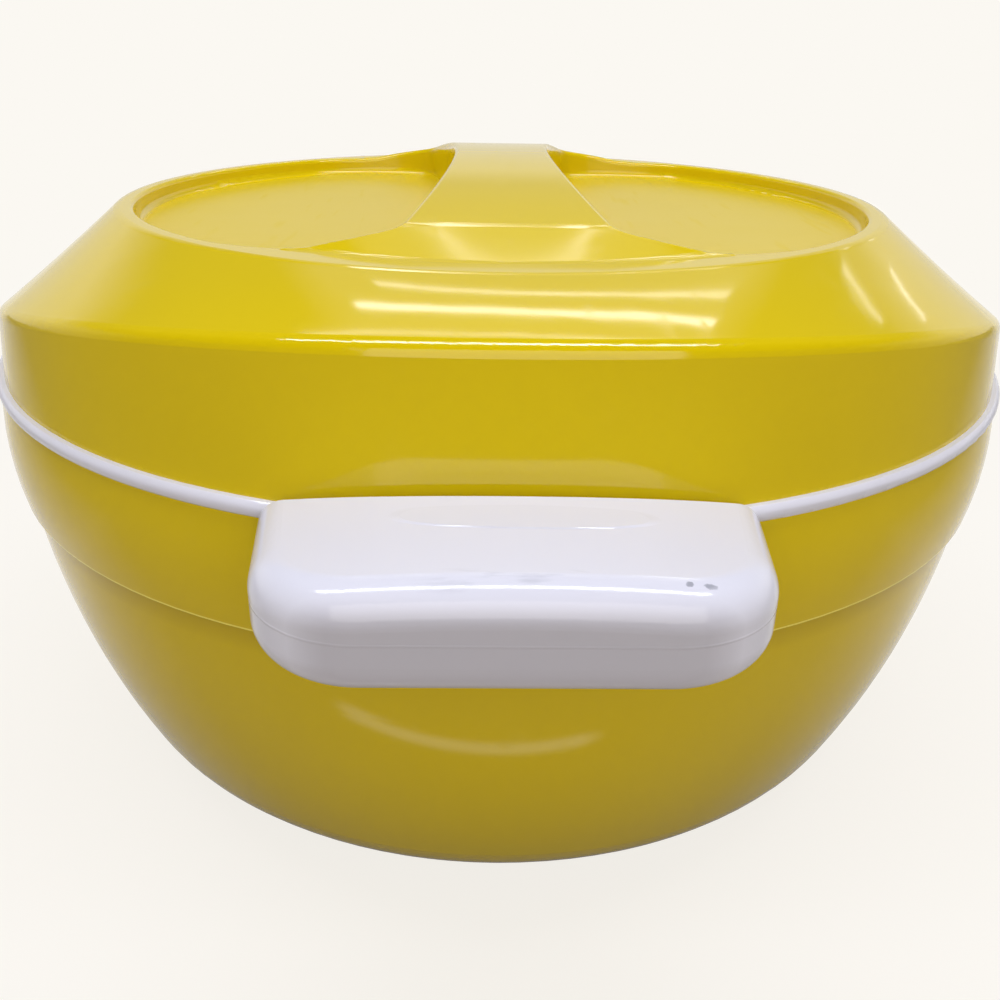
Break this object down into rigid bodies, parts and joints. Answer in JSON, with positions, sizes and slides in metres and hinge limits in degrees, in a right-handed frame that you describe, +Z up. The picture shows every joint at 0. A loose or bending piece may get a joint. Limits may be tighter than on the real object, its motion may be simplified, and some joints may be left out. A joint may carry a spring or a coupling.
{
  "type": "insulated chapati casserole",
  "caption": "Round insulated serving casserole with a steel inner bowl, two side handles and a lift-off lid with a bridge grip between finger wells.",
  "frame": {"origin": "centre of the foot ring's underside, on the surface the casserole stands on", "axes": "+Z up, +Y from the front handle to the rear handle along the lid's bridge grip, +X across the handles"},
  "size_m": [0.2538, 0.313, 0.1502],
  "materials": {
    "yellow_shell": "glossy moulded golden yellow plastic",
    "white_plastic": "glossy moulded cool white plastic",
    "steel": "spun stainless steel",
    "screw_steel": "zinc plated screw",
    "foam": "rigid polyurethane foam"
  },
  "bodies": {
    "bowl": {"outer_bowl": "yellow_shell", "steel_inner_bowl": "steel", "bowl_insulation": "foam", "collar_ring": "white_plastic", "base_foam_port_plug": "yellow_shell", "front_handle": "white_plastic", "front_handle_cover": "white_plastic", "front_handle_screws": "screw_steel", "rear_handle": "white_plastic", "rear_handle_cover": "white_plastic", "rear_handle_screws": "screw_steel"},
    "lid": {"lid_outer_shell": "yellow_shell", "lid_inner_liner": "white_plastic", "lid_insulation": "foam", "lid_foam_port_cap": "white_plastic"}
  },
  "joints": [
    {"name": "lid_lift", "type": "slide", "parent": "bowl", "child": "lid", "axis": [0, 0, 1], "range_m": [0, 0.15]}
  ]
}
